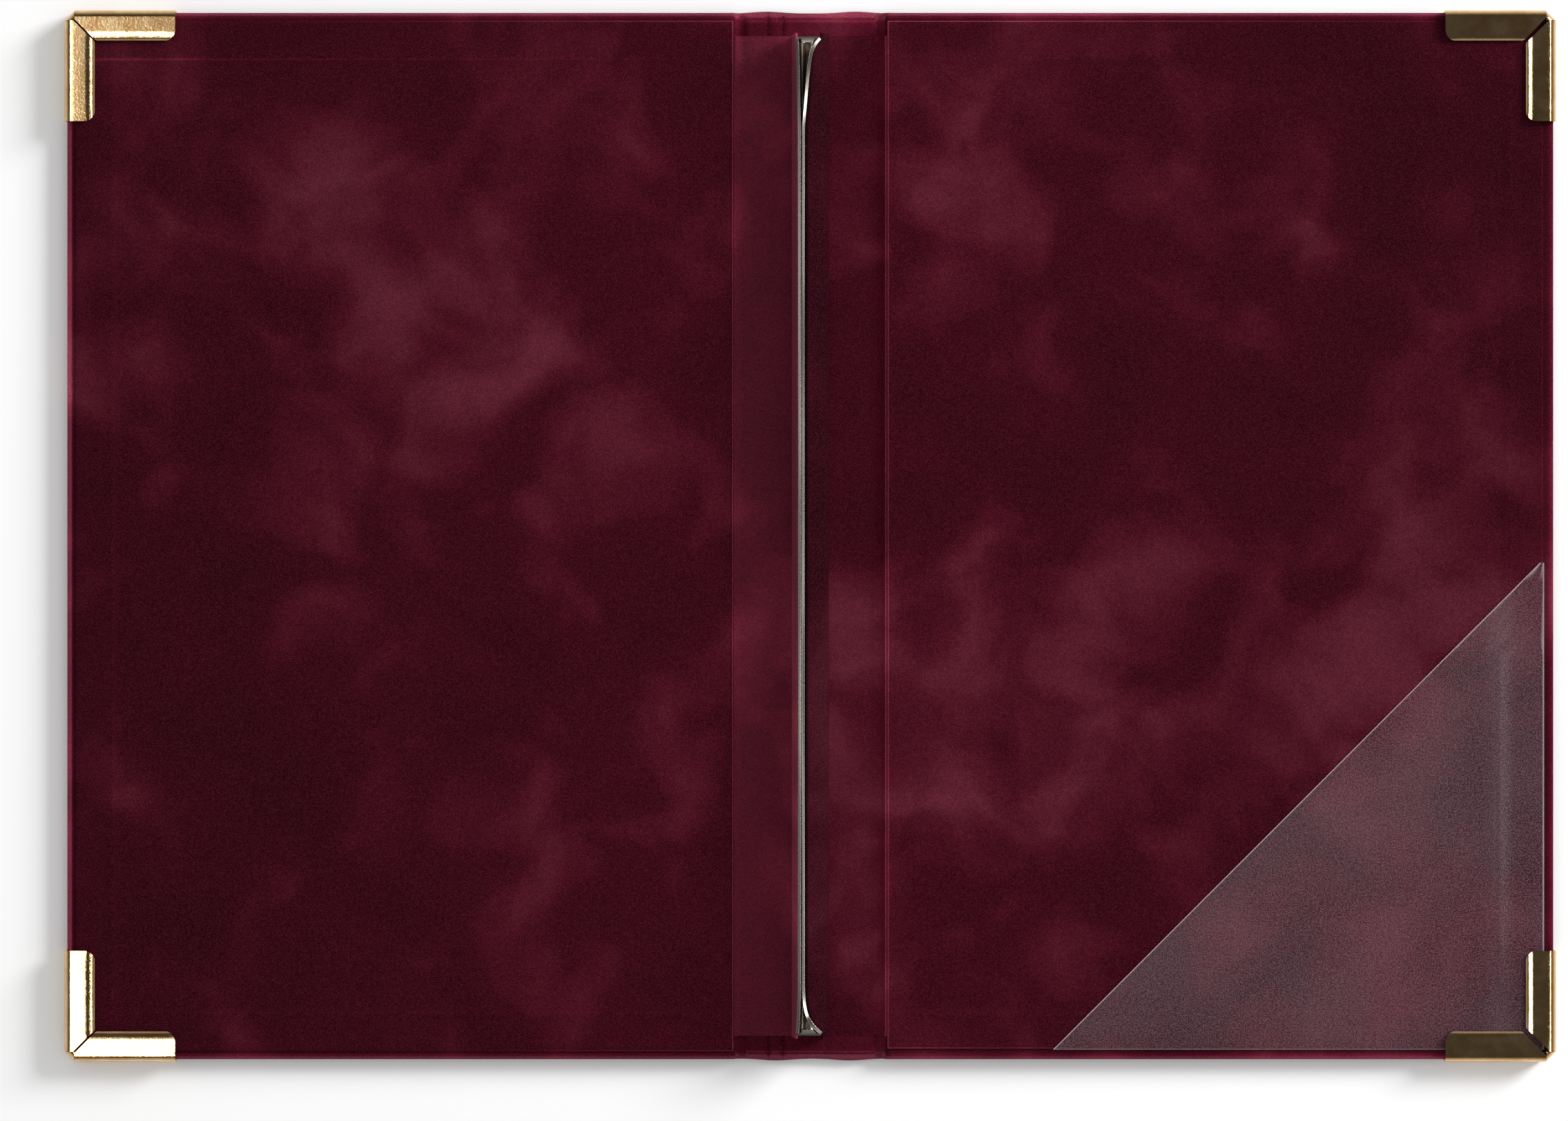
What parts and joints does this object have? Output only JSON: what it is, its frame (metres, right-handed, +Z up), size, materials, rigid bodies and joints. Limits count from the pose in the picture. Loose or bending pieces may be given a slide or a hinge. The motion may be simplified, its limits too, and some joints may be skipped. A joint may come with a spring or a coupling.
{
  "type": "family register folder",
  "caption": "Velvet covered A5 folder that hinges either side of a spring steel clamp rail, with folded brass corners and a clear corner pocket.",
  "frame": {"origin": "on the table, in the middle of the open folder's footprint, under the spine's middle", "axes": "+X from the front cover to the back cover, +Y to the head, +Z up from the outside to the lined inside"},
  "size_m": [0.3346, 0.236, 0.012],
  "materials": {
    "velvet": "short burgundy pile",
    "greyboard": "raw grey board",
    "card": "uncoated card",
    "lever": "hard pressed board",
    "steel": "nickel plated spring steel",
    "brass": "polished brass plate",
    "film": "clear film"
  },
  "bodies": {
    "spine": {"spine_card": "card", "spine_velvet": "velvet", "lever_strip_front": "lever", "lever_strip_back": "lever", "clamp_rail": "steel", "spine_lining_front": "velvet", "spine_lining_back": "velvet"},
    "front_cover": {"front_board": "greyboard", "front_infill_card": "card", "front_velvet": "velvet", "front_lining": "velvet", "corner_front_head": "brass", "corner_front_tail": "brass"},
    "back_cover": {"back_board": "greyboard", "back_infill_card": "card", "back_velvet": "velvet", "back_lining": "velvet", "corner_back_head": "brass", "corner_back_tail": "brass", "corner_pocket": "film"}
  },
  "joints": [
    {"name": "front_cover_hinge", "type": "hinge", "parent": "spine", "child": "front_cover", "pos_m": [-0.0147, 0, 0.0007], "axis": [0, 1, 0], "range_deg": [-90, 90]},
    {"name": "back_cover_hinge", "type": "hinge", "parent": "spine", "child": "back_cover", "pos_m": [0.0147, 0, 0.0007], "axis": [0, -1, 0], "range_deg": [-90, 90]}
  ]
}
